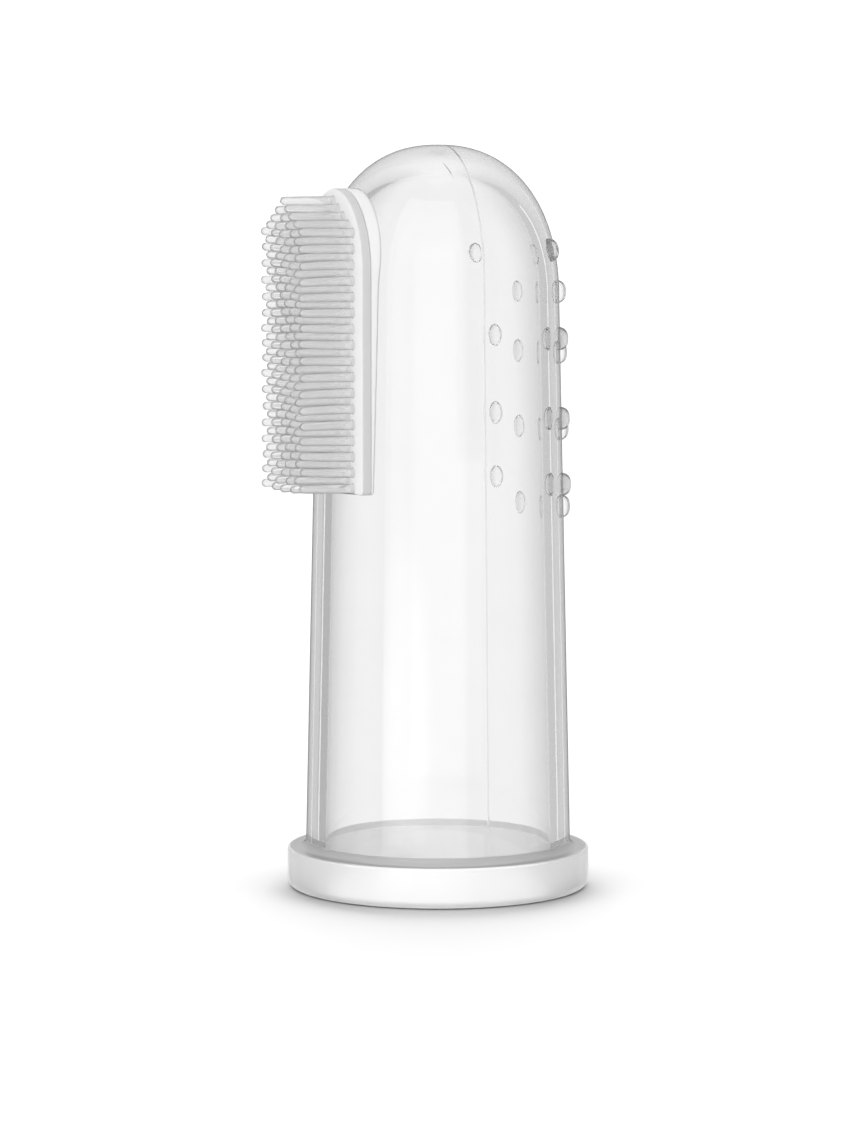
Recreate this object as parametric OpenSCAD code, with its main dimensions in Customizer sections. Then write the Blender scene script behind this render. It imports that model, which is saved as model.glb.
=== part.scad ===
// Finger toothbrush for a pet: a soft silicone thimble with a brush pad on one side.
// Origin: centre of the open mouth, in the plane that the collar stands on.
// +Z runs along the sleeve to the closed tip, and the bristles point along -X.
// All sizes are in millimetres.

/* [Sleeve] */
// Height from the mouth to the closed tip
total_h = 60; // [56:0.5:70]
// Outer diameter of the sleeve at the collar
sleeve_base_d = 21.5; // [20.8:0.1:23]
// Outer diameter of the sleeve where the dome starts
sleeve_top_d = 19.5; // [19:0.1:20.4]
// Height at which the dome starts
dome_z = 47.5; // [46:0.5:48.5]
// How full the dome is: 2 is an ellipse, higher is squarer
dome_fullness = 2.25; // [2:0.05:2.4]
// Bore diameter at the mouth
mouth_d = 18.4; // [17.4:0.1:18.8]
// Length of the straight bore inside the mouth
mouth_land = 4; // [2:0.5:6]
// Bore diameter where the inner dome starts
bore_top_d = 16.5; // [15.5:0.1:16.8]
// Thickness of the closed tip
tip_wall = 2; // [1:0.1:3]

/* [Collar] */
// Outer diameter of the collar
collar_d = 24.5; // [23.5:0.1:28]
// Height of the collar
collar_h = 3.25; // [2:0.05:5]
// Rounding of the lower outer edge of the collar
collar_foot_r = 0.7; // [0.3:0.05:0.9]
// Rounding of the upper outer edge of the collar
collar_top_r = 0.2; // [0.1:0.05:0.5]
// Rounding of the inner corner between the collar and the sleeve
collar_neck_r = 0.6; // [0.3:0.05:0.9]

/* [Brush pad] */
// Distance from the sleeve axis to the flat face of the pad
pad_face = 9.17; // [9.1:0.01:9.6]
// Width of the pad
pad_w = 11.5; // [10.6:0.1:12]
// Height of the lower edge of the pad
pad_z0 = 32.4; // [31:0.1:32.4]
// Height of the top of the arch
pad_z1 = 56.5; // [56.5:0.1:57]
// Height of the arched part of the pad
pad_arch_h = 6.5; // [5.5:0.1:8]

/* [Bristles] */
// Length of each bristle, with its rounded tip
bristle_len = 4.58; // [3:0.02:7]
// Diameter of a bristle at its root
bristle_root_d = 0.76; // [0.5:0.02:0.9]
// Diameter of a bristle at its tip
bristle_tip_d = 0.64; // [0.4:0.02:0.7]
// Distance between the bristle columns
column_pitch = 0.965; // [0.94:0.005:1.05]
// Distance between the bristles of one column
row_pitch = 1.26; // [1.2:0.01:1.27]
// Height of the lowest bristle
first_row_z = 32.85; // [32.85:0.05:33]
// Bristles in the middle column
middle_count = 19; // [12:1:19]

/* [Massage nubs] */
// Height of a nub where it meets the sleeve, along the sleeve
nub_h = 1.88; // [1.2:0.02:2]
// Width of a nub there, round the sleeve
nub_w = 1.4; // [1:0.02:2]
// How far a nub stands out of the sleeve
nub_proud = 0.72; // [0.3:0.02:0.8]
// Angle from the back to the outer nub columns
outer_nub_angle = 33; // [30:0.5:45]
// Angle from the back to the inner nub columns
inner_nub_angle = 15.5; // [8:0.5:22]
// Angle from the back to the top nub of an outer column, which sits further round on the dome
top_nub_angle = 43.5; // [33:0.5:48]

/* [Hidden] */
eps = 0.5;
arc_steps = 20;
sleeve_base_r = sleeve_base_d / 2;
sleeve_top_r = sleeve_top_d / 2;
dome_h = total_h - dome_z;
mouth_r = mouth_d / 2;
bore_top_r = bore_top_d / 2;
bore_dome_h = dome_h - tip_wall;
collar_r = collar_d / 2;
sleeve_draft = (sleeve_base_r - sleeve_top_r) / (dome_z - collar_h);

// The pad is let into the wall, so its solid starts this far from the axis, inside the bore.
pad_root = 4;
pad_shoulder_z = pad_z1 - pad_arch_h;

columns_each_side = 4;
tip_r = bristle_tip_d / 2;

// A nub is a ball, narrowed to its width, and its centre lies this far under the surface of the sleeve.
nub_r = (nub_h * nub_h / 4 + nub_proud * nub_proud) / (2 * nub_proud);
nub_sink = nub_r - nub_proud;
seat_flats = 7;
seat_step = 3;
outer_nub_heights = [32.8, 38.1, 44.5];
top_nub_height = 51.6;
inner_nub_heights = [30.8, 37.1, 43.3, 48.2];

silicone = [0.93, 0.94, 0.94, 0.55];
bristle_silicone = [0.86, 0.87, 0.87, 0.7];

$fn = 96;

// Quarter outline of a dome of radius r and height h that starts at height z.
function dome_outline(r, h, z) = [
    for (i = [0 : arc_steps])
        let (a = 90 * i / arc_steps)
        [i == arc_steps ? 0 : r * pow(cos(a), 2 / dome_fullness), z + h * pow(sin(a), 2 / dome_fullness)]
];

// Outer radius of the tapered sleeve at height z, and of the dome above it.
function sleeve_r(z) =
    z <= dome_z
    ? sleeve_top_r + sleeve_draft * (dome_z - z)
    : sleeve_top_r * pow(1 - pow((z - dome_z) / dome_h, dome_fullness), 1 / dome_fullness);

// Bristles in the column that lies u columns from the middle.
function bristle_count(u) = middle_count - ceil(abs(u) / 2);

// Every second column starts half a row higher.
function column_start(u) = first_row_z + (abs(u) % 2) * row_pitch / 2;

module filled_sleeve() {
    rotate_extrude()
        polygon(concat(
            [[0, 0], [sleeve_base_r, 0], [sleeve_base_r, collar_h]],
            dome_outline(sleeve_top_r, dome_h, dome_z)
        ));
}

module finger_cavity() {
    translate([0, 0, -eps])
        cylinder(r = mouth_r, h = mouth_land + eps);
    rotate_extrude()
        polygon(concat(
            [[0, mouth_land - eps], [mouth_r, mouth_land - eps], [mouth_r, mouth_land]],
            dome_outline(bore_top_r, bore_dome_h, dome_z)
        ));
}

// Arched outline of the pad, with the width along X and the height along Y.
module pad_outline() {
    polygon(concat(
        [[-pad_w / 2, pad_z0], [pad_w / 2, pad_z0]],
        [
            for (i = [0 : 2 * arc_steps])
                let (a = 90 * i / arc_steps)
                [pad_w / 2 * cos(a), pad_shoulder_z + pad_arch_h * sin(a)]
        ]
    ));
}

// The outline pushed out from x = -far to x = -near.
module pad_block(near, far) {
    translate([-far, 0, 0])
        rotate([90, 0, 90])
            linear_extrude(height = far - near)
                pad_outline();
}

module finger_sleeve() {
    color(silicone)
        difference() {
            filled_sleeve();
            finger_cavity();
            pad_block(pad_root, sleeve_base_r + eps);
        }
}

// Concave corner between the top of the collar and the sleeve.
module neck_outline() {
    neck_x = sleeve_base_r + collar_neck_r;
    neck_z = collar_h + collar_neck_r;
    difference() {
        polygon([
            [sleeve_base_r, collar_h - eps],
            [neck_x, collar_h - eps],
            [neck_x, neck_z],
            [sleeve_r(neck_z), neck_z],
            [sleeve_base_r, collar_h]
        ]);
        translate([neck_x, neck_z])
            circle(r = collar_neck_r);
    }
}

// Outline of the collar: a bar with a rounded foot and a lightly rounded top edge.
module collar_outline() {
    foot_x = collar_r - collar_foot_r;
    top_x = collar_r - collar_top_r;
    translate([sleeve_base_r, 0])
        square([foot_x - sleeve_base_r, collar_h]);
    translate([foot_x - eps, collar_foot_r])
        square([top_x - foot_x + eps, collar_h - collar_foot_r]);
    translate([top_x - eps, collar_foot_r])
        square([collar_top_r + eps, collar_h - collar_foot_r - collar_top_r]);
    translate([foot_x, collar_foot_r])
        circle(r = collar_foot_r);
    translate([top_x, collar_h - collar_top_r])
        circle(r = collar_top_r);
}

module base_collar() {
    color(silicone)
        rotate_extrude() {
            collar_outline();
            neck_outline();
        }
}

module brush_pad() {
    color(silicone)
        difference() {
            pad_block(pad_root, pad_face);
            finger_cavity();
        }
}

// One bristle from the pad face outwards, a slim cone with a round tip.
module bristle() {
    shaft = bristle_len - tip_r;
    rotate([0, -90, 0]) {
        cylinder(r1 = bristle_root_d / 2, r2 = tip_r, h = shaft, $fn = 32);
        translate([0, 0, shaft])
            sphere(r = tip_r, $fn = 32);
    }
}

module bristle_column(number) {
    u = number - columns_each_side - 1;
    color(bristle_silicone)
        for (k = [0 : bristle_count(u) - 1])
            translate([-pad_face, u * column_pitch, column_start(u) + k * row_pitch])
                bristle();
}

// Wedge from the sleeve axis out to its surface, in narrow flats: what a nub is seated on.
module nub_seat(r) {
    translate([-r, 0, -2 * nub_r])
        linear_extrude(height = 4 * nub_r)
            polygon(concat(
                [[0, 0]],
                [for (i = [-seat_flats / 2 : seat_flats / 2]) r * [cos(i * seat_step), sin(i * seat_step)]]
            ));
}

// One nub at height z on the back of the sleeve, tilted as the surface is there.
module nub(z) {
    r = sleeve_r(z);
    tilt = atan((sleeve_r(z - nub_r) - sleeve_r(z + nub_r)) / (2 * nub_r));
    translate([r, 0, z])
        rotate([0, -tilt, 0])
            difference() {
                translate([-nub_sink, 0, 0])
                    rotate([0, 0, 180])
                        scale([1, nub_w / nub_h, 1])
                            sphere(r = nub_r, $fn = 48);
                nub_seat(r);
            }
}

// A column of nubs at an angle from the back of the sleeve.
module nub_column(angle, heights) {
    color(silicone)
        rotate([0, 0, angle])
            for (z = heights)
                nub(z);
}

// An outer column on one side, -1 or 1, with its top nub.
module outer_nub_column(side) {
    nub_column(side * outer_nub_angle, outer_nub_heights);
    nub_column(side * top_nub_angle, [top_nub_height]);
}

finger_sleeve();
base_collar();
brush_pad();
for (i = [1 : 9])
    bristle_column(i);
outer_nub_column(-1);  // nub_column_1
nub_column(-inner_nub_angle, inner_nub_heights);  // nub_column_2
nub_column(inner_nub_angle, inner_nub_heights);  // nub_column_3
outer_nub_column(1);  // nub_column_4
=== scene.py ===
"""Finger-sleeve pet toothbrush in clear silicone: detailed meshes, materials, studio and camera."""

import math

import bmesh
import bpy
import numpy as np
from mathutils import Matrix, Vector


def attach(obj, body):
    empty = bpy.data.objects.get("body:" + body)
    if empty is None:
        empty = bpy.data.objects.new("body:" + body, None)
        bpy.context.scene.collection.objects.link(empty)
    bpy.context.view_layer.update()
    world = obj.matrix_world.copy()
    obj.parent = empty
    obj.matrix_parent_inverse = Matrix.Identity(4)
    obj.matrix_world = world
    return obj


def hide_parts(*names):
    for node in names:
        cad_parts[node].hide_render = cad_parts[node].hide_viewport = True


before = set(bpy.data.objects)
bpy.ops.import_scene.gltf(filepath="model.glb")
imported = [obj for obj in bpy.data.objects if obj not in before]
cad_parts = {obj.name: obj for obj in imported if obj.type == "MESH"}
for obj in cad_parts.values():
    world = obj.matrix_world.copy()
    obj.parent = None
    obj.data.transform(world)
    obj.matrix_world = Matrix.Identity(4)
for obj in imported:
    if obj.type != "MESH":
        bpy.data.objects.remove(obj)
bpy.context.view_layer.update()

MM = 0.001

# ---- sizes, in mm, the same as in the CAD part -------------------------------------------------
TOTAL_H = 60.0
DOME_Z = 47.5
FULLNESS = 2.25
COLLAR_H = 3.25
COLLAR_R = 12.25
COLLAR_FOOT_R = 0.7
COLLAR_TOP_R = 0.2
COLLAR_NECK_R = 0.6
SLEEVE_R = (10.75, 9.75)  # at the collar and at the dome
CAVITY_R = (9.2, 8.25)
CAVITY_LAND = 4.0
CAVITY_TOP = 58.0
LIP_R = 0.25
PAD_FACE = 9.17
PAD_HALF_W = 5.75
PAD_Z = (32.4, 56.5)
PAD_ARCH_H = 6.5
PAD_ROOT = 6.6
PAD_SET_IN = 0.12
PAD_LEAST = 0.9
BRISTLE_LEN = 4.58
BRISTLE_R = (0.38, 0.32)
COLUMN_PITCH = 0.965
ROW_PITCH = 1.26
FIRST_ROW_Z = 32.85
MIDDLE_COUNT = 19
NUB_H, NUB_W = 1.88, 1.4
NUB_PROUD = 0.72
NUB_ANGLES = (-33.0, -15.5, 15.5, 33.0)
OUTER_NUB_Z = (32.8, 38.1, 44.5)
TOP_NUB_ANGLE, TOP_NUB_Z = 43.5, 51.6
INNER_NUB_Z = (30.8, 37.1, 43.3, 48.2)

# ---- details that only these meshes have, in mm --------------------------------------------------
OVERLAP = 0.005  # how far joined pieces reach into each other, so no air gap shows
PAD_MILKY = 0.82  # depth of the milky layer with the bristles, in front of the rest of the pad
PAD_EDGE_R = 0.12
PAD_CORNER_R = 0.35
FACE_LEAN = 0.8  # pad faces whose normal points less to the front than this count as its edge
WINDOW_REACH = 6.0  # how far in front of the pad the tool that cuts its window starts
BORE_TOOL_Z = 20.0  # where the tool that cuts the cavity out of the pad ends
FLARE = 0.07  # fillet at a bristle's root
SWAY = 0.13  # how far a bristle tip may bend aside
SWAY_BY_Y, SWAY_BY_Z, SWAY_UP = 43.7, 91.3, 1.7  # uneven rates that bend each one its own way
NUB_SUNK = 0.05
NUB_FULLNESS = 2.8  # 2 is an ellipse, higher is flatter on top
RIDGE_H = 0.035  # mould parting line, standing proud of the outside
RIDGE_W = 0.06
RIDGE_DROP = 0.95  # the share of its height that it loses over the top and at the back
RIDGE_FADE, RIDGE_FADE_AT = 2, 1.3
RIDGE_FOOT = 0.2  # height over which it rises above the collar
SEAM_BACK = -1.2  # the seam's material ends at this Y, before the top
SEAM_HALF_W = 0.06
PARTING_TURN = math.radians(-2.7)  # how far the parting plane is turned from the YZ plane
PARTING_OFFSETS = (0.025, 0.05, 0.075, 0.11, 0.16)  # of the vertices on both sides of it
PARTING_R = 10.2  # the radius at which they are that far off
AZIMUTHS = 240
TAPER_BLEND = (-0.5, 1.5)  # heights from a taper's foot between which the normals take it up
ALIGNED = 0.8  # least cosine between the normals of a face and of a wall that it lies on
SKIN_TOLERANCE = 0.02  # a vertex this close to the outside counts as on it
WALL_TOLERANCE = 0.06  # a vertex this close to a wall takes its exact normal
APEX_DEPTH = 3.0  # down to here from the top, closeness to the dome is measured upright


# ---- camera, from the fitted view ---------------------------------------------------------------
VIEW_AZIMUTH = math.radians(24.5)
VIEW_PITCH = math.radians(5.3)
CAMERA_SIDE, CAMERA_BACK, CAMERA_UP = -0.654, 328.8, 55.94
LENS = 127.9


# ---- surfaces -----------------------------------------------------------------------------------
def dome_radius(z, radius, height):
    """Radius of the superellipse dome at z."""
    t = np.clip((z - DOME_Z) / height, 0, 1)
    return radius * (1 - t**FULLNESS) ** (1 / FULLNESS)


def wall_radius(z, radii, z_low, top):
    """Radius of a wall that is straight up to z_low, tapers to the dome and closes at top."""
    z = np.asarray(z, float)
    share = np.clip((z - z_low) / (DOME_Z - z_low), 0, 1)
    straight = radii[0] + (radii[1] - radii[0]) * share
    return np.where(z <= DOME_Z, straight, dome_radius(z, radii[1], top - DOME_Z))


def wall_tilt(rho, z, radii, z_low, top):
    """How far the outward normal of that wall leans up, in radians, without a break at the dome."""
    height = top - DOME_Z
    taper = math.atan((radii[0] - radii[1]) / (DOME_Z - z_low))
    low, high = TAPER_BLEND
    soft = np.clip((z - z_low - low) / (high - low), 0, 1)
    t = np.clip((z - DOME_Z) / height, 0, None)
    up = t ** (FULLNESS - 1) / height
    out = np.maximum(rho / radii[1], 1e-9) ** (FULLNESS - 1) / radii[1]
    return np.maximum(taper * soft * soft * (3 - 2 * soft), np.arctan2(up, out))


OUTSIDE = (SLEEVE_R, COLLAR_H, TOTAL_H)
INSIDE = (CAVITY_R, CAVITY_LAND, CAVITY_TOP)


def sweep(start, stop, count):
    """Evenly spaced values from start to stop, both included."""
    return [start + (stop - start) * i / count for i in range(count + 1)]


def wall_profile(radii, z_low, top, z_start, dome_steps, wall_steps):
    """(radius, z) points from the apex of a wall down to z_start."""
    height = top - DOME_Z
    points = []
    for i in range(1, dome_steps + 1):
        a = math.pi / 2 * (1 - i / dome_steps)
        points.append(
            (
                radii[1] * math.cos(a) ** (2 / FULLNESS),
                DOME_Z + height * math.sin(a) ** (2 / FULLNESS),
            )
        )
    zs = sweep(DOME_Z, z_low, wall_steps)[1:]
    if z_start < z_low:
        zs += sweep(z_low, z_start, 3)[1:]
    points += [(float(wall_radius(z, radii, z_low, top)), z) for z in zs]
    return points


def azimuths():
    """Angles round the axis, with close-set ones on both sides of the parting line."""
    step = 2 * math.pi / AZIMUTHS
    fine = [s * d / PARTING_R for d in PARTING_OFFSETS for s in (-1, 1)]
    angles = [i * step for i in range(AZIMUTHS)]
    for centre in (math.pi / 2, 3 * math.pi / 2):
        angles += [centre + PARTING_TURN + d for d in fine]
    return sorted(angles)


def from_parting(co):
    """Distance of points from the parting plane."""
    return co[:, 0] * math.cos(PARTING_TURN) + co[:, 1] * math.sin(PARTING_TURN)


def above_collar(z):
    """0 up to the collar's neck and 1 above it."""
    return np.clip((z - COLLAR_H - COLLAR_NECK_R) / RIDGE_FOOT, 0, 1)


def ridge(distance, y):
    """Height of the parting line's ridge, which is lower over the top and at the back."""
    back = np.clip(y / RIDGE_FADE + RIDGE_FADE_AT, 0, 1)
    return RIDGE_H * (1 - RIDGE_DROP * back) * np.exp(-((distance / RIDGE_W) ** 2))


# ---- mesh helpers -------------------------------------------------------------------------------
def mesh_object(name, verts, faces):
    """A mesh object from points in mm."""
    mesh = bpy.data.meshes.new(name)
    mesh.from_pydata([(x * MM, y * MM, z * MM) for x, y, z in verts], [], faces)
    mesh.update()
    ob = bpy.data.objects.new(name, mesh)
    bpy.context.scene.collection.objects.link(ob)
    return ob


def ring_faces(a, b, count):
    """Quads between two rings that start at vertex a and vertex b."""
    return [(a + i, b + i, b + (i + 1) % count, a + (i + 1) % count) for i in range(count)]


def revolve(name, profile, angles, pole_start=None, pole_end=None, closed=False):
    """A solid of revolution round Z. The profile runs so that the outside is on its left."""
    n = len(angles)
    verts, faces = [], []
    for r, z in profile:
        verts += [(r * math.cos(a), r * math.sin(a), z) for a in angles]
    for k in range(len(profile) - 1):
        faces += ring_faces(k * n, (k + 1) * n, n)
    if closed:
        faces += ring_faces((len(profile) - 1) * n, 0, n)
    if pole_start is not None:
        verts.append((0, 0, pole_start))
        faces += [(len(verts) - 1, i, (i + 1) % n) for i in range(n)]
    if pole_end is not None:
        verts.append((0, 0, pole_end))
        last = (len(profile) - 1) * n
        faces += [(len(verts) - 1, last + (i + 1) % n, last + i) for i in range(n)]
    return mesh_object(name, verts, faces)


def arc(cx, cz, r, a0, a1, steps):
    """Points on a fillet, angles in degrees."""
    return [
        (cx + r * math.cos(math.radians(a)), cz + r * math.sin(math.radians(a)))
        for a in sweep(a0, a1, steps)
    ]


def cut(ob, tool, operation):
    """Applies a boolean and removes the tool."""
    mod = ob.modifiers.new("cut", "BOOLEAN")
    mod.operation = operation
    mod.solver = "EXACT"
    mod.object = tool
    graph = bpy.context.evaluated_depsgraph_get()
    mesh = bpy.data.meshes.new_from_object(ob.evaluated_get(graph))
    ob.modifiers.clear()
    ob.data = mesh
    bpy.data.objects.remove(tool)


def points_of(mesh):
    """Vertex positions as an array, in mm."""
    co = np.zeros(len(mesh.vertices) * 3)
    mesh.vertices.foreach_get("co", co)
    return co.reshape(-1, 3) / MM


def smooth(ob, degrees=30):
    """Smooth shading with sharp edges over the angle."""
    mesh = ob.data
    bm = bmesh.new()
    bm.from_mesh(mesh)
    bmesh.ops.recalc_face_normals(bm, faces=bm.faces)
    for e in bm.edges:
        e.smooth = len(e.link_faces) == 2 and e.calc_face_angle(0) < math.radians(degrees)
    for f in bm.faces:
        f.smooth = True
    bm.to_mesh(mesh)
    bm.free()


def join(name, parts):
    """One object from several meshes."""
    bm = bmesh.new()
    for part in parts:
        bm.from_mesh(part.data)
        bpy.data.objects.remove(part)
    mesh = bpy.data.meshes.new(name)
    bm.to_mesh(mesh)
    bm.free()
    ob = bpy.data.objects.new(name, mesh)
    bpy.context.scene.collection.objects.link(ob)
    return ob


def wall_normals(co, wall):
    """The outward normals of a wall at the points nearest to some points."""
    rho = np.hypot(co[:, 0], co[:, 1])
    tilt = wall_tilt(rho, co[:, 2], *wall)
    out = co[:, :2] / np.maximum(rho, 1e-6)[:, None]
    return np.column_stack([out * np.cos(tilt)[:, None], np.sin(tilt)])


def true_normals(ob):
    """Gives the sleeve's and pad's curved faces the exact normals of the walls they lie on."""
    mesh = ob.data
    co = points_of(mesh)
    rho = np.hypot(co[:, 0], co[:, 1])
    walls = []
    for wall, sign in ((OUTSIDE, 1), (INSIDE, -1)):
        normal = wall_normals(co, wall)
        if sign > 0:
            d = from_parting(co)
            slope = -2 * d / RIDGE_W**2 * ridge(d, co[:, 1]) * above_collar(co[:, 2])
            bent = normal.copy()
            bent[:, 0] -= slope * math.cos(PARTING_TURN)
            bent[:, 1] -= slope * math.sin(PARTING_TURN)
            normal = bent / np.linalg.norm(bent, axis=1)[:, None]
        top = wall[2]
        on = np.abs(rho - wall_radius(co[:, 2], *wall)) < WALL_TOLERANCE
        over = np.abs(co[:, 2] - dome_height(rho, wall)) < WALL_TOLERANCE
        on |= (co[:, 2] > top - APEX_DEPTH) & over
        walls.append((on, sign * normal))
    custom = []
    for face in mesh.polygons:
        n = np.array(face.normal)
        found = None
        for on, normal in walls:
            if all(on[v] for v in face.vertices):
                mean = normal[list(face.vertices)].mean(0)
                if n @ mean > ALIGNED * np.linalg.norm(mean):
                    found = normal
        for v in face.vertices:
            custom.append(tuple(found[v]) if found is not None else None)
        if found is None:
            face.use_smooth = True
    mesh.update()
    kept = np.zeros(len(mesh.loops) * 3)
    mesh.corner_normals.foreach_get("vector", kept)
    kept = kept.reshape(-1, 3)
    mesh.normals_split_custom_set(
        [c if c is not None else tuple(kept[i]) for i, c in enumerate(custom)]
    )


def dome_height(rho, wall):
    """Height of a wall's dome over a distance from the axis."""
    radii, _, top = wall
    share = np.clip(rho / radii[1], 0, 1)
    return DOME_Z + (top - DOME_Z) * (1 - share**FULLNESS) ** (1 / FULLNESS)


# ---- the pieces ---------------------------------------------------------------------------------
def pad_outline(inset, steps=40):
    """(y, z) points round the pad's face, moved in by inset, anticlockwise seen from +X."""
    w, (z0, z1), c = PAD_HALF_W, PAD_Z, PAD_CORNER_R
    arch_z = z1 - PAD_ARCH_H
    points = []
    for a in sweep(180, 270, 6):
        points.append((-w + c, z0 + c, a, c))
    for a in sweep(270, 360, 6):
        points.append((w - c, z0 + c, a, c))
    out = []
    for cy, cz, a, r in points:
        k = math.radians(a)
        out.append((cy + (r - inset) * math.cos(k), cz + (r - inset) * math.sin(k)))
    for z in sweep(z0 + c, arch_z, 14)[1:]:
        out.append((w - inset, z))
    for i in range(1, steps):
        k = math.pi * i / steps
        ny, nz = math.cos(k) / w, math.sin(k) / PAD_ARCH_H
        size = math.hypot(ny, nz)
        out.append(
            (
                w * math.cos(k) - inset * ny / size,
                arch_z + PAD_ARCH_H * math.sin(k) - inset * nz / size,
            )
        )
    for z in sweep(arch_z, z0 + c, 14)[:-1]:
        out.append((-w + inset, z))
    return out


def pad_back(y, z):
    """X of the pad's back at (y, z): just under the sleeve's skin, so that the two join."""
    skin = math.sqrt(max(float(wall_radius(z, *OUTSIDE)) ** 2 - y * y, 0.0))
    return -min(skin - PAD_SET_IN, PAD_FACE - PAD_LEAST)


def pad_block(name, x, inset=0.0, extra=0.0):
    """A slab with the pad's outline, from x to the pad's back, which follows the sleeve."""
    outline = pad_outline(inset)
    n = len(outline)
    verts = [(x, y, z) for y, z in outline]
    verts += [(pad_back(y, z) + extra, y, z) for y, z in outline]
    faces = ring_faces(0, n, n) + [tuple(range(n - 1, -1, -1))]
    verts.append((-PAD_ROOT, 0, sum(PAD_Z) / 2))
    faces += [(len(verts) - 1, n + i, n + (i + 1) % n) for i in range(n)]
    ob = mesh_object(name, verts, faces)
    smooth(ob)
    return ob


def build_sleeve():
    """The sleeve with its ridge, its cavity with a rounded lip, and a window for the pad."""
    angles = azimuths()
    outer = wall_profile(*OUTSIDE, z_start=0.0, dome_steps=36, wall_steps=16)
    cavity = wall_profile(*INSIDE, z_start=LIP_R, dome_steps=32, wall_steps=14)
    lip = arc(CAVITY_R[0] + LIP_R, LIP_R, LIP_R, 270, 180, 5)
    profile = outer + lip[:-1] + cavity[::-1]
    ob = revolve("finger_sleeve_skin", profile, angles, pole_start=TOTAL_H, pole_end=CAVITY_TOP)
    mesh = ob.data
    co = points_of(mesh)
    on = np.zeros(len(co), bool)
    on[: len(outer) * len(angles)] = True
    on[len(co) - 2] = True
    height = ridge(from_parting(co), co[:, 1]) * above_collar(co[:, 2])
    co[on] += (wall_normals(co, OUTSIDE) * height[:, None])[on]
    mesh.vertices.foreach_set("co", (co * MM).ravel())
    mesh.update()
    window = pad_block("window", -PAD_FACE - WINDOW_REACH, OVERLAP, -OVERLAP)
    cut(ob, window, "DIFFERENCE")
    smooth(ob)
    true_normals(ob)
    return ob


def build_pad_face():
    """The milky layer of the pad that the bristles stand on, with lightly rounded front edges."""
    turns = [math.radians(a) for a in sweep(0, 90, 5)]
    layers = [
        (-PAD_FACE + PAD_EDGE_R * (1 - math.cos(k)), PAD_EDGE_R * (1 - math.sin(k))) for k in turns
    ]
    layers += [(-PAD_FACE + PAD_MILKY - PAD_EDGE_R, 0.0), (-PAD_FACE + PAD_MILKY, PAD_EDGE_R)]
    verts, faces, n = [], [], 0
    for x, inset in layers:
        outline = pad_outline(inset)
        n = len(outline)
        verts += [(x, y, z) for y, z in outline]
    for k in range(len(layers) - 1):
        faces += ring_faces(k * n, (k + 1) * n, n)
    faces.append(tuple(range(n - 1, -1, -1)))
    faces.append(tuple(range((len(layers) - 1) * n, len(layers) * n)))
    ob = mesh_object("brush_pad_face", verts, faces)
    smooth(ob)
    return ob


def build_pad_body():
    """The rest of the pad behind that layer, down to the sleeve's skin and the cavity."""
    ob = pad_block("brush_pad_body", -PAD_FACE + PAD_MILKY - OVERLAP)
    profile = wall_profile(*INSIDE, z_start=CAVITY_LAND, dome_steps=32, wall_steps=14)
    profile = [p for p in profile if p[1] >= BORE_TOOL_Z]
    cavity = revolve("cavity", profile, azimuths(), pole_start=CAVITY_TOP, pole_end=profile[-1][1])
    smooth(cavity)
    cut(ob, cavity, "DIFFERENCE")
    smooth(ob)
    true_normals(ob)
    return ob


def build_collar():
    """The collar, with a concave corner up to the sleeve."""
    inner = SLEEVE_R[0] - OVERLAP
    neck_z = COLLAR_H + COLLAR_NECK_R
    neck_top = float(wall_radius(neck_z, *OUTSIDE)) - OVERLAP
    neck = arc(SLEEVE_R[0] + COLLAR_NECK_R, neck_z, COLLAR_NECK_R, 180, 270, 10)
    foot = arc(COLLAR_R - COLLAR_FOOT_R, COLLAR_FOOT_R, COLLAR_FOOT_R, 0, -90, 10)
    top = arc(COLLAR_R - COLLAR_TOP_R, COLLAR_H - COLLAR_TOP_R, COLLAR_TOP_R, 90, 0, 6)
    profile = [(neck_top, neck_z)] + neck + top + foot + [(inner, 0.0)]
    profile += [(inner, z) for z in sweep(0, COLLAR_H, 4)[1:]]
    ob = revolve("base_collar_ring", profile, azimuths(), closed=True)
    smooth(ob)
    return ob


def bristle(y, z):
    """One bristle pointing to -X, its root sunk into the pad, its tip bent aside a little."""
    n, tip_r = 20, BRISTLE_R[1]
    x0 = -PAD_FACE + OVERLAP
    x_tip = -PAD_FACE - BRISTLE_LEN
    rings = [(x0, BRISTLE_R[0] + FLARE)]
    for a in sweep(0, 90, 3)[1:]:
        k = math.radians(a)
        x = -PAD_FACE - FLARE * (1 - math.cos(k))
        rings.append((x, BRISTLE_R[0] + FLARE * (1 - math.sin(k))))
    x_root, r_root = rings[-1]
    for share in sweep(0, 1, 4)[1:]:
        rings.append((x_root + (x_tip + tip_r - x_root) * share, r_root + (tip_r - r_root) * share))
    for a in sweep(0, 90, 6)[1:-1]:
        k = math.radians(a)
        rings.append((x_tip + tip_r * (1 - math.sin(k)), tip_r * math.cos(k)))
    turn = SWAY_BY_Y * y + SWAY_BY_Z * z
    verts, faces = [], []
    for x, r in rings + [(x_tip, 0.0)]:
        bend = SWAY * max((-PAD_FACE - x) / BRISTLE_LEN, 0.0) ** 2
        cy, cz = y + bend * math.sin(turn), z + bend * math.cos(SWAY_UP * turn)
        verts += [
            (x, cy + r * math.cos(2 * math.pi * i / n), cz + r * math.sin(2 * math.pi * i / n))
            for i in range(n if r else 1)
        ]
    for k in range(len(rings) - 1):
        faces += ring_faces(k * n, (k + 1) * n, n)
    faces.append(tuple(range(n)))
    last = (len(rings) - 1) * n
    faces += [(len(verts) - 1, last + (i + 1) % n, last + i) for i in range(n)]
    ob = mesh_object("bristle", verts, faces)
    smooth(ob)
    return ob


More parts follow.
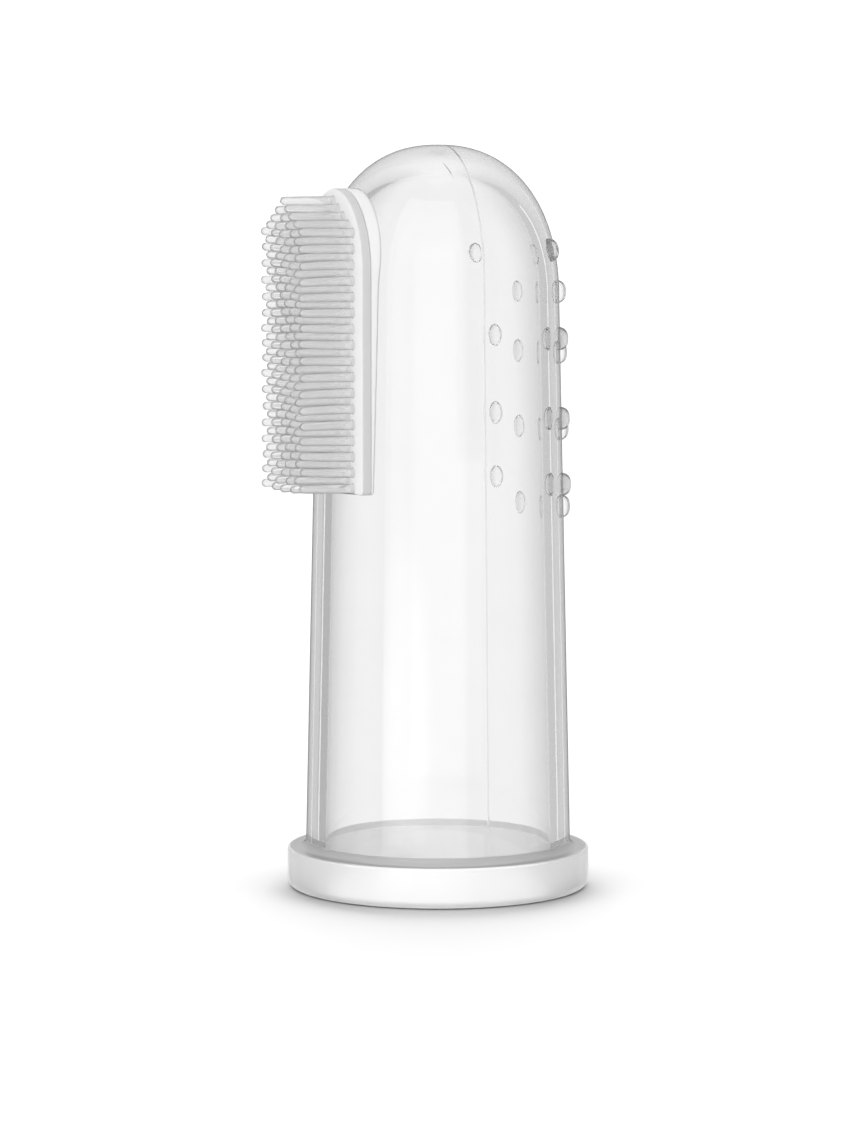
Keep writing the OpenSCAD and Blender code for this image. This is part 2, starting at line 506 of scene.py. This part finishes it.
def build_bristle_column(number):
    """A column of bristles. The columns are staggered and get shorter towards the pad's sides."""
    u = number - 5
    count = MIDDLE_COUNT - math.ceil(abs(u) / 2)
    start = FIRST_ROW_Z + (ROW_PITCH / 2 if u % 2 else 0)
    parts = [bristle(u * COLUMN_PITCH, start + i * ROW_PITCH) for i in range(count)]
    return join(f"bristle_column_{number}_soft", parts)


def nub(angle, z0):
    """One round nub on the outside: a soft cap over a base that follows the wall."""
    a = math.radians(angle)
    rho = float(wall_radius(z0, *OUTSIDE))
    tilt = float(wall_tilt(np.array(rho), np.array(z0), *OUTSIDE))
    out = Vector((math.cos(a) * math.cos(tilt), math.sin(a) * math.cos(tilt), math.sin(tilt)))
    side = Vector((-math.sin(a), math.cos(a), 0))
    up = out.cross(side)
    centre = Vector((rho * math.cos(a), rho * math.sin(a), z0))
    reach = NUB_H / 2
    narrow = NUB_W / NUB_H

    def wall_height(s, t):
        """Where the wall lies over the tangent plane at (s, t) on it."""
        h = 0.0
        for _ in range(4):
            p = centre + side * s + up * t + out * h
            level = float(wall_radius(p.z, *OUTSIDE))
            h -= math.hypot(p.x, p.y) - level
        return h

    def cap_height(q):
        """A softly flattened cap, a little deeper than the nub is proud."""
        share = math.sqrt(max(1 - (q / reach) ** NUB_FULLNESS, 0.0))
        return (NUB_PROUD + NUB_SUNK) * share - NUB_SUNK

    n, rings = 32, 9
    rims = []
    for i in range(n):
        k = 2 * math.pi * i / n
        lo, hi = 0.2, reach
        for _ in range(30):
            q = (lo + hi) / 2
            if cap_height(q) > wall_height(q * narrow * math.cos(k), q * math.sin(k)) - OVERLAP:
                lo = q
            else:
                hi = q
        rims.append(lo)
    top, bottom, faces = [], [], []
    for j in range(1, rings + 1):
        share = math.sin(math.pi / 2 * j / rings)
        for i in range(n):
            k = 2 * math.pi * i / n
            q = rims[i] * share
            s, t = q * narrow * math.cos(k), q * math.sin(k)
            top.append(centre + side * s + up * t + out * cap_height(q))
    inner_rings = 5
    for j in range(1, inner_rings):
        for i in range(n):
            k = 2 * math.pi * i / n
            q = rims[i] * j / inner_rings
            s, t = q * narrow * math.cos(k), q * math.sin(k)
            bottom.append(centre + side * s + up * t + out * (wall_height(s, t) - OVERLAP))
    verts = top + bottom + [centre + out * cap_height(0), centre - out * OVERLAP]
    apex, floor_point = len(verts) - 2, len(verts) - 1
    faces += [(apex, i, (i + 1) % n) for i in range(n)]
    for j in range(rings - 1):
        faces += ring_faces(j * n, (j + 1) * n, n)
    base = len(top)
    faces += [(floor_point, base + (i + 1) % n, base + i) for i in range(n)]
    for j in range(inner_rings - 2):
        faces += ring_faces(base + (j + 1) * n, base + j * n, n)
    faces += ring_faces((rings - 1) * n, base + (inner_rings - 2) * n, n)
    ob = mesh_object("nub", [tuple(v) for v in verts], faces)
    smooth(ob)
    return ob


def build_nub_column(number):
    """A column of nubs. The two outer columns end in a top nub that sits further round."""
    angle = NUB_ANGLES[number - 1]
    if number in (1, 4):
        parts = [nub(angle, z) for z in OUTER_NUB_Z]
        parts.append(nub(math.copysign(TOP_NUB_ANGLE, angle), TOP_NUB_Z))
    else:
        parts = [nub(angle, z) for z in INNER_NUB_Z]
    return join(f"nub_column_{number}_soft", parts)


# ---- materials ----------------------------------------------------------------------------------
def silicone(name, tint, clearness, roughness, rim=1.0, ior=1.41, ripple=0.2, grain=900.0):
    """Silicone with faint ripples. What its clearness leaves is milky, and rim darkens its edges."""
    mat = bpy.data.materials.new(name)
    mat.use_nodes = True
    nt = mat.node_tree
    nt.nodes.clear()
    out = nt.nodes.new("ShaderNodeOutputMaterial")
    body = nt.nodes.new("ShaderNodeBsdfPrincipled")
    body.inputs["Transmission Weight"].default_value = clearness
    body.inputs["IOR"].default_value = ior
    body.inputs["Roughness"].default_value = roughness
    body.inputs["Coat Weight"].default_value = 1.0
    body.inputs["Coat IOR"].default_value = 1.0
    body.inputs["Coat Tint"].default_value = (rim, rim, rim, 1)
    coords = nt.nodes.new("ShaderNodeTexCoord")
    cloud = nt.nodes.new("ShaderNodeTexNoise")
    cloud.inputs["Scale"].default_value = 220.0
    cloud.inputs["Detail"].default_value = 3.0
    ramp = nt.nodes.new("ShaderNodeValToRGB")
    ramp.color_ramp.elements[0].position = 0.3
    ramp.color_ramp.elements[0].color = (tint * 0.985,) * 3 + (1,)
    ramp.color_ramp.elements[1].position = 0.7
    ramp.color_ramp.elements[1].color = (tint,) * 3 + (1,)
    waves = nt.nodes.new("ShaderNodeTexNoise")
    waves.inputs["Scale"].default_value = grain
    waves.inputs["Detail"].default_value = 2.0
    bump = nt.nodes.new("ShaderNodeBump")
    bump.inputs["Strength"].default_value = ripple
    bump.inputs["Distance"].default_value = 0.00002
    nt.links.new(coords.outputs["Object"], cloud.inputs["Vector"])
    nt.links.new(coords.outputs["Object"], waves.inputs["Vector"])
    nt.links.new(cloud.outputs["Fac"], ramp.inputs["Fac"])
    nt.links.new(ramp.outputs["Color"], body.inputs["Base Color"])
    nt.links.new(waves.outputs["Fac"], bump.inputs["Height"])
    nt.links.new(bump.outputs["Normal"], body.inputs["Normal"])
    nt.links.new(body.outputs["BSDF"], out.inputs["Surface"])
    return mat


FLOOR_SHADES = (0.195, 0.205)


def floor_material():
    """Pale matt table top with the faintest unevenness."""
    mat = bpy.data.materials.new("pale_floor")
    mat.use_nodes = True
    nt = mat.node_tree
    body = nt.nodes["Principled BSDF"]
    body.inputs["Roughness"].default_value = 0.9
    body.inputs["Specular IOR Level"].default_value = 0.2
    noise = nt.nodes.new("ShaderNodeTexNoise")
    noise.inputs["Scale"].default_value = 12.0
    ramp = nt.nodes.new("ShaderNodeValToRGB")
    for element, shade in zip(ramp.color_ramp.elements, FLOOR_SHADES):
        element.color = (shade, shade, shade, 1)
    nt.links.new(noise.outputs["Fac"], ramp.inputs["Fac"])
    nt.links.new(ramp.outputs["Color"], body.inputs["Base Color"])
    return mat


# ---- studio -------------------------------------------------------------------------------------
def math_node(nt, operation, a, b=None, c=None):
    """A math node on numbers or sockets, as its output socket."""
    node = nt.nodes.new("ShaderNodeMath")
    node.operation = operation
    for i, value in enumerate((a, b, c)):
        if value is None:
            continue
        if isinstance(value, (int, float)):
            node.inputs[i].default_value = value
        else:
            nt.links.new(value, node.inputs[i])
    return node.outputs[0]


def smooth_step(nt, value, low, high):
    """0 below low, 1 above high."""
    node = nt.nodes.new("ShaderNodeMapRange")
    node.interpolation_type = "SMOOTHSTEP"
    nt.links.new(value, node.inputs["Value"])
    node.inputs["From Min"].default_value = low
    node.inputs["From Max"].default_value = high
    return node.outputs["Result"]


def dot_with(nt, direction, vector):
    """The dot product of a direction socket with a fixed vector."""
    node = nt.nodes.new("ShaderNodeVectorMath")
    node.operation = "DOT_PRODUCT"
    nt.links.new(direction, node.inputs[0])
    node.inputs[1].default_value = vector
    return node.outputs["Value"]


# Angles are in degrees. The backdrop's are from straight behind the object, the softbox's and the
# fills' from the camera, counted to the right. Brightness is 1 for white.
BACKDROP_FULL, BACKDROP_HALF = 8.0, 29.0  # where the white backdrop starts to fade and ends
BACKDROP_RIM = 0.75  # how bright it still is at its end
BACKDROP_EDGE = 2.0  # how soft its edge is
BACKDROP, BACKDROP_HIGH = 1.14, 1.2
CLIMB = (12.0, 28.0)  # heights between which it goes from the one to the other
ROOM_LEFT, ROOM_RIGHT = 0.627, 0.79  # the grey room next to the backdrop
SIDES = 0.6  # and further round
SIDES_FROM, SIDES_FULL = 50.0, 80.0
STRIP = 1.55  # thin upright lights just outside the backdrop
STRIP_FROM, STRIP_TO, STRIP_EDGE, STRIP_TOP = 31.5, 34.5, 1.0, 25.0
OVERHEAD = 0.92
OVERHEAD_RISE = (35.0, 60.0)
SOFTBOX, SOFTBOX_HIGH = 1.8, 2.3
SOFTBOX_RISE = (10.0, 40.0)
SOFTBOX_LEFT, SOFTBOX_RIGHT = -50.0, 22.0
SOFTBOX_LOW, SOFTBOX_TOP = -30.0, 60.0
SOFTBOX_EDGE, SOFTBOX_FADE = 2.0, 12.0
BLOB = 2.4  # the softbox's hot spot, brighter by this
BLOB_AZIMUTH, BLOB_HEIGHT, BLOB_W, BLOB_H = -30.0, -5.0, 20.0, 2.5
FILL, FILL_RIGHT = 1.0, 0.85
FILL_LEFT_SPAN = ((-125.0, -105.0), (-65.0, -52.0))
FILL_RIGHT_SPAN = ((28.0, 42.0), (105.0, 125.0))
SEEN_THROUGH = 1.3  # the brightest the studio gets where it is seen through the silicone
BEHIND_ALL = 1.1  # the least the camera sees of it directly


def ramp_between(nt, value, low, high):
    """smooth_step between two angles in degrees."""
    return smooth_step(nt, value, math.radians(low), math.radians(high))


def span(nt, value, rise, fall):
    """1 between two soft edges, each a pair of angles, and 0 outside."""
    return math_node(nt, "SUBTRACT", ramp_between(nt, value, *rise), ramp_between(nt, value, *fall))


def room_level(nt, spread, height, right):
    """Brightness of the backdrop, of the room on both sides of it and of the thin lights between."""
    edge = math.radians(BACKDROP_HALF)
    off_drop = ramp_between(nt, spread, BACKDROP_HALF, BACKDROP_HALF + BACKDROP_EDGE)
    sides = ramp_between(nt, spread, SIDES_FROM, SIDES_FULL)
    to_right = smooth_step(nt, right, -0.1, 0.1)
    room = math_node(nt, "MULTIPLY_ADD", to_right, ROOM_RIGHT - ROOM_LEFT, ROOM_LEFT)
    room = math_node(nt, "MULTIPLY", room, math_node(nt, "SUBTRACT", 1.0, sides))
    room = math_node(nt, "MULTIPLY_ADD", sides, SIDES, room)
    drop = nt.nodes.new("ShaderNodeMapRange")
    nt.links.new(spread, drop.inputs["Value"])
    drop.inputs["From Min"].default_value = math.radians(BACKDROP_FULL)
    drop.inputs["From Max"].default_value = edge
    drop.inputs["To Min"].default_value = 1.0
    drop.inputs["To Max"].default_value = BACKDROP_RIM
    climb = ramp_between(nt, height, *CLIMB)
    bright = math_node(nt, "MULTIPLY_ADD", climb, BACKDROP_HIGH - BACKDROP, BACKDROP)
    drop = math_node(nt, "MULTIPLY", drop.outputs["Result"], bright)
    level = math_node(nt, "MULTIPLY", math_node(nt, "SUBTRACT", 1.0, off_drop), drop)
    level = math_node(nt, "MULTIPLY_ADD", off_drop, room, level)
    strip = span(
        nt, spread, (STRIP_FROM, STRIP_FROM + STRIP_EDGE), (STRIP_TO, STRIP_TO + STRIP_EDGE)
    )
    strip = math_node(nt, "MULTIPLY", strip, STRIP)
    low = math_node(nt, "LESS_THAN", height, math.radians(STRIP_TOP))
    return math_node(nt, "MAXIMUM", level, math_node(nt, "MULTIPLY", strip, low))


def softbox_level(nt, behind, height):
    """Brightness of the softbox, which rises with height and has a hot spot."""
    e = SOFTBOX_EDGE
    left_in = ramp_between(nt, behind, SOFTBOX_LEFT - e, SOFTBOX_LEFT + e)
    right_out = ramp_between(nt, behind, SOFTBOX_RIGHT - e, SOFTBOX_RIGHT + SOFTBOX_FADE)
    low_in = ramp_between(nt, height, SOFTBOX_LOW - e, SOFTBOX_LOW + e)
    top_out = ramp_between(nt, height, SOFTBOX_TOP - e, SOFTBOX_TOP + e)
    box = math_node(nt, "MULTIPLY", left_in, math_node(nt, "SUBTRACT", 1.0, right_out))
    box = math_node(nt, "MULTIPLY", box, low_in)
    box = math_node(nt, "MULTIPLY", box, math_node(nt, "SUBTRACT", 1.0, top_out))
    high = ramp_between(nt, height, *SOFTBOX_RISE)
    shine = math_node(nt, "MULTIPLY_ADD", high, SOFTBOX_HIGH - SOFTBOX, SOFTBOX)
    aside = math_node(nt, "SUBTRACT", behind, math.radians(BLOB_AZIMUTH))
    aside = math_node(nt, "MULTIPLY", aside, 1 / math.radians(BLOB_W))
    under = math_node(nt, "SUBTRACT", height, math.radians(BLOB_HEIGHT))
    under = math_node(nt, "MULTIPLY", under, 1 / math.radians(BLOB_H))
    under = math_node(nt, "MULTIPLY", under, under)
    far = math_node(nt, "ADD", math_node(nt, "MULTIPLY", aside, aside), under)
    blob = math_node(nt, "SUBTRACT", 1.0, smooth_step(nt, far, 0.0, 2.0))
    shine = math_node(nt, "MULTIPLY_ADD", blob, BLOB, shine)
    return math_node(nt, "MULTIPLY", box, shine)


def studio_light():
    """A white backdrop, grey room at its sides, one softbox by the camera and soft fills."""
    world = bpy.data.worlds.new("studio")
    bpy.context.scene.world = world
    world.use_nodes = True
    nt = world.node_tree
    nt.nodes.clear()
    direction = nt.nodes.new("ShaderNodeTexCoord").outputs["Generated"]
    s, c = math.sin(VIEW_AZIMUTH), math.cos(VIEW_AZIMUTH)
    ahead = dot_with(nt, direction, (s, c, 0))
    right = dot_with(nt, direction, (c, -s, 0))
    up = dot_with(nt, direction, (0, 0, 1))
    spread = math_node(nt, "ABSOLUTE", math_node(nt, "ARCTAN2", right, ahead))
    behind = math_node(nt, "ARCTAN2", right, math_node(nt, "MULTIPLY", ahead, -1.0))
    height = math_node(nt, "ARCSINE", up)
    level = room_level(nt, spread, height, right)
    overhead = ramp_between(nt, height, *OVERHEAD_RISE)
    level = math_node(nt, "MAXIMUM", level, math_node(nt, "MULTIPLY", overhead, OVERHEAD))
    level = math_node(nt, "MAXIMUM", level, softbox_level(nt, behind, height))
    for fill_level, edges in ((FILL, FILL_LEFT_SPAN), (FILL_RIGHT, FILL_RIGHT_SPAN)):
        fill = math_node(nt, "MULTIPLY", span(nt, behind, *edges), fill_level)
        level = math_node(nt, "MAXIMUM", level, fill)
    path = nt.nodes.new("ShaderNodeLightPath").outputs
    over = math_node(nt, "MAXIMUM", math_node(nt, "SUBTRACT", level, SEEN_THROUGH), 0.0)
    over = math_node(nt, "MULTIPLY", over, path["Is Transmission Ray"])
    level = math_node(nt, "SUBTRACT", level, over)
    direct = math_node(nt, "MULTIPLY", path["Is Camera Ray"], BEHIND_ALL)
    level = math_node(nt, "MAXIMUM", level, direct)
    background = nt.nodes.new("ShaderNodeBackground")
    background.inputs["Color"].default_value = (1, 1, 1, 1)
    nt.links.new(level, background.inputs["Strength"])
    out = nt.nodes.new("ShaderNodeOutputWorld")
    nt.links.new(background.outputs[0], out.inputs["Surface"])


FLOOR_HALF_W = 1500.0
FLOOR_GAP = 0.00002  # in metres, below the collar
LAMPS = 0.91  # strength of the floor's lamps together
COLLAR_LAMP = 1.1  # strength of the collar's own lamp


def soft_light(target, name, energy, spread, lean, turn):
    """Even light for one object. It leans from behind, or from the side it is turned to."""
    lamp = bpy.data.lights.new(name, "SUN")
    lamp.energy = energy
    lamp.angle = math.radians(spread)
    ob = bpy.data.objects.new(name, lamp)
    bpy.context.scene.collection.objects.link(ob)
    ob.rotation_euler = (math.radians(-lean), 0, math.radians(turn) - VIEW_AZIMUTH)
    lit = bpy.data.collections.new(name)
    lit.objects.link(target)
    ob.light_linking.receiver_collection = lit
    ob.visible_glossy = False
    ob.visible_transmission = False


def build_floor():
    """A wide table top, not seen by rays inside the silicone."""
    w = FLOOR_HALF_W
    ob = mesh_object("floor", [(-w, -w, 0), (w, -w, 0), (w, w, 0), (-w, w, 0)], [(0, 1, 2, 3)])
    ob.location.z = -FLOOR_GAP
    ob.data.materials.append(floor_material())
    ob.visible_transmission = False
    ob.visible_glossy = False
    return ob


def build_camera():
    """The fitted camera."""
    cam = bpy.data.objects.new("camera", bpy.data.cameras.new("camera"))
    bpy.context.scene.collection.objects.link(cam)
    s, c = math.sin(VIEW_AZIMUTH), math.cos(VIEW_AZIMUTH)
    cam.location = (
        (CAMERA_SIDE * c - CAMERA_BACK * s) * MM,
        (-CAMERA_SIDE * s - CAMERA_BACK * c) * MM,
        CAMERA_UP * MM,
    )
    flat = math.cos(VIEW_PITCH)
    ahead = Vector((s * flat, c * flat, -math.sin(VIEW_PITCH)))
    cam.rotation_mode = "QUATERNION"
    cam.rotation_quaternion = ahead.to_track_quat("-Z", "Y")
    cam.data.lens = LENS
    cam.data.sensor_width = 36.0
    cam.data.clip_start = 0.01
    cam.data.clip_end = 10.0
    bpy.context.scene.camera = cam


def mark_sleeve(ob, seam, bore):
    """Faces on the front parting line take the seam's material, and those inside take the bore's."""
    ob.data.materials.append(seam)
    ob.data.materials.append(bore)
    co = points_of(ob.data)
    off = np.abs(from_parting(co))
    rho = np.hypot(co[:, 0], co[:, 1])
    proud = np.maximum(rho - wall_radius(co[:, 2], *OUTSIDE), co[:, 2] - dome_height(rho, OUTSIDE))
    outer = proud > -SKIN_TOLERANCE
    for face in ob.data.polygons:
        v = list(face.vertices)
        low = co[v, 2].min() < COLLAR_H + COLLAR_NECK_R
        near = off[v].mean() < SEAM_HALF_W and co[v, 1].mean() < SEAM_BACK
        if outer[v].all() and near and not low:
            face.material_index = 1
        elif not outer[v].any():
            face.material_index = 2


def mark_collar(ob, corner, bore):
    """The neck of the collar takes a dark material, painted shade in the concave corner against the
    sleeve, and a milky one on its inside.
    """
    ob.data.materials.append(corner)
    ob.data.materials.append(bore)
    for face in ob.data.polygons:
        rho = math.hypot(face.center.x, face.center.y) / MM
        if face.center.z > COLLAR_H * MM:
            face.material_index = 2 if rho < SLEEVE_R[0] - OVERLAP / 2 else 1


def mark_pad_face(ob, edge):
    """All but the flat front takes a darker material: painted shade on the pad's sides and rounded
    edges.
    """
    ob.data.materials.append(edge)
    for face in ob.data.polygons:
        face.material_index = int(face.normal.x > -FACE_LEAN)


def mark_pad_body(ob, bare):
    """Where the pad is bare in the cavity it takes a slightly paler copy of its material, painted
    light so that it looks as pale as where the skin covers it.
    """
    ob.data.materials.append(bare)
    co = points_of(ob.data)
    rho = np.hypot(co[:, 0], co[:, 1])
    on = np.abs(rho - wall_radius(co[:, 2], *INSIDE)) < SKIN_TOLERANCE
    for face in ob.data.polygons:
        face.material_index = int(on[list(face.vertices)].all())


def place(ob, mat, node):
    """Gives a piece its material in its slot, hides the CAD part of its node, and ties it to the
    body.
    """
    ob.visible_shadow = node == "base_collar"
    ob.data.materials.clear()
    ob.data.materials.append(mat)
    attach(ob, "root")
    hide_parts(node)


clear = silicone("clear_silicone", tint=1.0, clearness=1.0, roughness=0.02, rim=0.91, ripple=0.1)
clear_bore = silicone("clear_bore_silicone", tint=1.0, clearness=1.0, roughness=0.02, ripple=0.1)
seam = silicone("seam_silicone", tint=0.88, clearness=0.9, roughness=0.3, rim=0.89, ripple=0.3)
frosted = silicone("frosted_silicone", tint=1.0, clearness=0.65, roughness=0.25)
# painted shade: a dark copy of the silicone for the outside of the collar's neck, in the corner
# against the sleeve
corner = silicone("corner_painted_shade_silicone", tint=0.5, clearness=0.4, roughness=0.3, rim=0.97)
corner_back = silicone("corner_back_silicone", tint=0.95, clearness=0.2, roughness=0.3)
milky = silicone("milky_silicone", tint=0.91, clearness=0.2, roughness=0.35)
# painted shade: a darker copy of the milky silicone for the pad's sides and rounded edges
milky_painted_shade = silicone("milky_painted_shade_silicone", tint=0.645, clearness=0.3, roughness=0.3, rim=0.97)
milky_body = silicone("milky_body_silicone", tint=0.93, clearness=0.3, roughness=0.3, rim=0.98)
# painted light: a paler copy of the milky body for the pad's bare faces in the cavity
milky_bare = silicone("milky_bare_painted_light_silicone", tint=0.96, clearness=0.3, roughness=0.3, rim=0.98)
bristle_mat = silicone(
    "bristle_silicone", tint=1.0, clearness=0.78, roughness=0.08, rim=0.885, grain=1500.0
)
near_nubs = silicone(
    "near_nub_silicone", tint=1.0, clearness=0.95, roughness=0.1, rim=0.93, grain=1200.0
)
far_nubs = silicone(
    "far_nub_silicone", tint=1.0, clearness=0.97, roughness=0.15, rim=0.99, ior=1.24, grain=1200.0
)

sleeve = build_sleeve()
place(sleeve, clear, "finger_sleeve")
mark_sleeve(sleeve, seam, clear_bore)
collar = build_collar()
place(collar, frosted, "base_collar")
mark_collar(collar, corner, corner_back)
pad_body = build_pad_body()
place(pad_body, milky_body, "brush_pad")
mark_pad_body(pad_body, milky_bare)
pad_face = build_pad_face()
place(pad_face, milky, "brush_pad")
mark_pad_face(pad_face, milky_painted_shade)
for number in range(1, 10):
    place(build_bristle_column(number), bristle_mat, f"bristle_column_{number}")
for number in range(1, 5):
    nub_mat = near_nubs if number < 3 else far_nubs
    place(build_nub_column(number), nub_mat, f"nub_column_{number}")

studio_light()
floor = build_floor()
soft_light(floor, "overhead", energy=3.3 * LAMPS, spread=120.0, lean=0.0, turn=0.0)
soft_light(floor, "behind", energy=11.9 * LAMPS, spread=55.0, lean=60.0, turn=0.0)
soft_light(floor, "left", energy=3.5 * LAMPS, spread=50.0, lean=40.0, turn=90.0)
soft_light(floor, "right", energy=3.5 * LAMPS, spread=50.0, lean=40.0, turn=-90.0)
soft_light(collar, "collar_front", energy=COLLAR_LAMP, spread=60.0, lean=65.0, turn=180.0)
build_camera()

scene = bpy.context.scene
scene.view_settings.view_transform = "Standard"
scene.cycles.max_bounces = 40
scene.cycles.transmission_bounces = 40
scene.cycles.glossy_bounces = 16
scene.cycles.sample_clamp_indirect = 8.0
